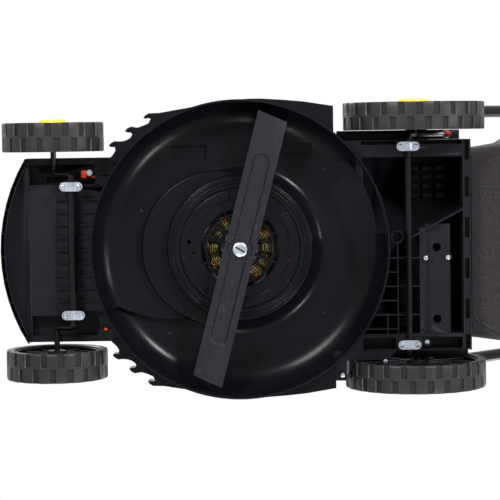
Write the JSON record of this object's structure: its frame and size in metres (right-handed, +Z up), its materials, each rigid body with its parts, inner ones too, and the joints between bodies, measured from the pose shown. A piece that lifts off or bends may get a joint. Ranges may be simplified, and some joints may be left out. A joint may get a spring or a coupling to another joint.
{
  "type": "rotary lawn mower",
  "caption": "Walk-behind rotary mower with a round cutting deck, height-adjustable wheels, folding handle and a grass bag behind.",
  "frame": {"origin": "centre of the footprint box at ground level, at the lowest cutting height", "axes": "+Z up, -Y to the mower's front, +X to the mower's left side"},
  "size_m": [0.506, 1.4168, 0.9643],
  "materials": {
    "deck_plastic": "smooth moulded black plastic with a soft gloss",
    "grained_plastic": "fine grained black plastic",
    "tyre_plastic": "hard dark brown-grey tread",
    "yellow_plastic": "bright yellow plastic",
    "red_plastic": "orange-red plastic",
    "painted_steel": "black enamelled steel",
    "zinc": "bright blue-white zinc plate",
    "blade_steel": "dark painted blade steel with worn edges",
    "copper": "varnished winding wire",
    "core_steel": "stacked motor laminations",
    "soft_grip": "soft foam grip",
    "bag_fabric": "melange woven bag cloth"
  },
  "bodies": {
    "deck": {"deck_bowl": "deck_plastic", "motor_plate": "deck_plastic", "front_nose": "grained_plastic", "nose_cover": "grained_plastic", "motor_hood": "grained_plastic", "rear_frame": "grained_plastic", "motor_can": "grained_plastic", "stator_core": "core_steel", "motor_windings": "copper", "flap_pin": "zinc", "front_left_axle_clamp": "zinc", "rear_left_axle_clamp": "zinc", "left_handle_bracket": "grained_plastic", "left_pivot_bolt": "zinc", "front_right_axle_clamp": "zinc", "rear_right_axle_clamp": "zinc", "right_handle_bracket": "grained_plastic", "right_pivot_bolt": "zinc"},
    "blade_assembly": {"blade": "blade_steel", "blade_washer": "blade_steel", "blade_bolt": "zinc", "motor_shaft": "zinc"},
    "front_axle": {"front_axle_rod": "painted_steel", "front_height_lever": "painted_steel", "front_lever_grip": "red_plastic"},
    "rear_axle": {"rear_axle_rod": "painted_steel", "rear_height_lever": "zinc", "rear_lever_knob": "red_plastic"},
    "flap": {"rear_flap": "grained_plastic"},
    "grass_bag": {"bag_mouth_frame": "grained_plastic", "bag_cloth": "bag_fabric", "bag_lid": "grained_plastic"},
    "lower_handle": {"lower_handle_left": "painted_steel", "lower_handle_right": "painted_steel", "left_clamp_bolt": "zinc", "right_clamp_bolt": "zinc"},
    "upper_handle_loop": {"upper_handle": "painted_steel", "handle_grip": "soft_grip", "switch_box": "grained_plastic"},
    "bail": {"motor_bail": "yellow_plastic"},
    "button": {"safety_button": "yellow_plastic"},
    "front_left_wheel_set": {"front_left_tyre": "tyre_plastic", "front_left_wheel": "grained_plastic", "front_left_hub_cap": "yellow_plastic"},
    "rear_left_wheel_set": {"rear_left_tyre": "tyre_plastic", "rear_left_wheel": "grained_plastic", "rear_left_hub_cap": "yellow_plastic"},
    "left_knob": {"left_handle_knob": "yellow_plastic"},
    "front_right_wheel_set": {"front_right_tyre": "tyre_plastic", "front_right_wheel": "grained_plastic", "front_right_hub_cap": "yellow_plastic"},
    "rear_right_wheel_set": {"rear_right_tyre": "tyre_plastic", "rear_right_wheel": "grained_plastic", "rear_right_hub_cap": "yellow_plastic"},
    "right_knob": {"right_handle_knob": "yellow_plastic"}
  },
  "joints": [
    {"name": "blade_spin", "type": "hinge", "parent": "deck", "child": "blade_assembly", "pos_m": [0, -0.30341, 0.048], "axis": [0, 0, 1], "continuous": true},
    {"name": "front_height", "type": "hinge", "parent": "deck", "child": "front_axle", "pos_m": [0, -0.58741, 0.068], "axis": [1, 0, 0], "range_deg": [0, 60]},
    {"name": "rear_height", "type": "hinge", "parent": "deck", "child": "rear_axle", "pos_m": [0, -0.01641, 0.083], "axis": [-1, 0, 0], "range_deg": [0, 60]},
    {"name": "flap_lift", "type": "hinge", "parent": "deck", "child": "flap", "pos_m": [0, 0.08409, 0.2735], "axis": [1, 0, 0], "range_deg": [0, 50]},
    {"name": "bag_removal", "type": "slide", "parent": "deck", "child": "grass_bag", "axis": [0, 0.9848, 0.1736], "range_m": [0, 0.3]},
    {"name": "lower_handle_fold", "type": "hinge", "parent": "deck", "child": "lower_handle", "pos_m": [0, 0.01409, 0.27], "axis": [1, 0, 0], "range_deg": [0, 125]},
    {"name": "upper_handle_fold", "type": "hinge", "parent": "lower_handle", "child": "upper_handle_loop", "pos_m": [0, 0.32522, 0.58113], "axis": [-1, 0, 0], "range_deg": [0, 150]},
    {"name": "bail_squeeze", "type": "hinge", "parent": "upper_handle_loop", "child": "bail", "pos_m": [0, 0.59392, 0.84983], "axis": [1, 0, 0], "range_deg": [0, 22], "stiffness_Nm_per_rad": 1.2, "springref_deg": -6.88},
    {"name": "button_press", "type": "slide", "parent": "upper_handle_loop", "child": "button", "axis": [0, 0.7071, -0.7071], "range_m": [0, 0.004], "stiffness_N_per_m": 300, "springref_m": -0.001},
    {"name": "left_knob_turn", "type": "hinge", "parent": "lower_handle", "child": "left_knob", "pos_m": [0.2403, 0.32522, 0.58113], "axis": [1, 0, 0], "range_deg": [0, 180]},
    {"name": "right_knob_turn", "type": "hinge", "parent": "lower_handle", "child": "right_knob", "pos_m": [-0.2403, 0.32522, 0.58113], "axis": [1, 0, 0], "range_deg": [0, 180]},
    {"name": "front_left_roll", "type": "hinge", "parent": "front_axle", "child": "front_left_wheel_set", "pos_m": [0.1685, -0.61841, 0.086], "axis": [1, 0, 0], "continuous": true},
    {"name": "front_right_roll", "type": "hinge", "parent": "front_axle", "child": "front_right_wheel_set", "pos_m": [-0.1685, -0.61841, 0.086], "axis": [1, 0, 0], "continuous": true},
    {"name": "rear_left_roll", "type": "hinge", "parent": "rear_axle", "child": "rear_left_wheel_set", "pos_m": [0.197, -0.00341, 0.121], "axis": [1, 0, 0], "continuous": true},
    {"name": "rear_right_roll", "type": "hinge", "parent": "rear_axle", "child": "rear_right_wheel_set", "pos_m": [-0.197, -0.00341, 0.121], "axis": [1, 0, 0], "continuous": true}
  ],
  "couplings": [
    {"joint": "upper_handle_fold", "follows": "lower_handle_fold", "ratio": 1.2}
  ]
}
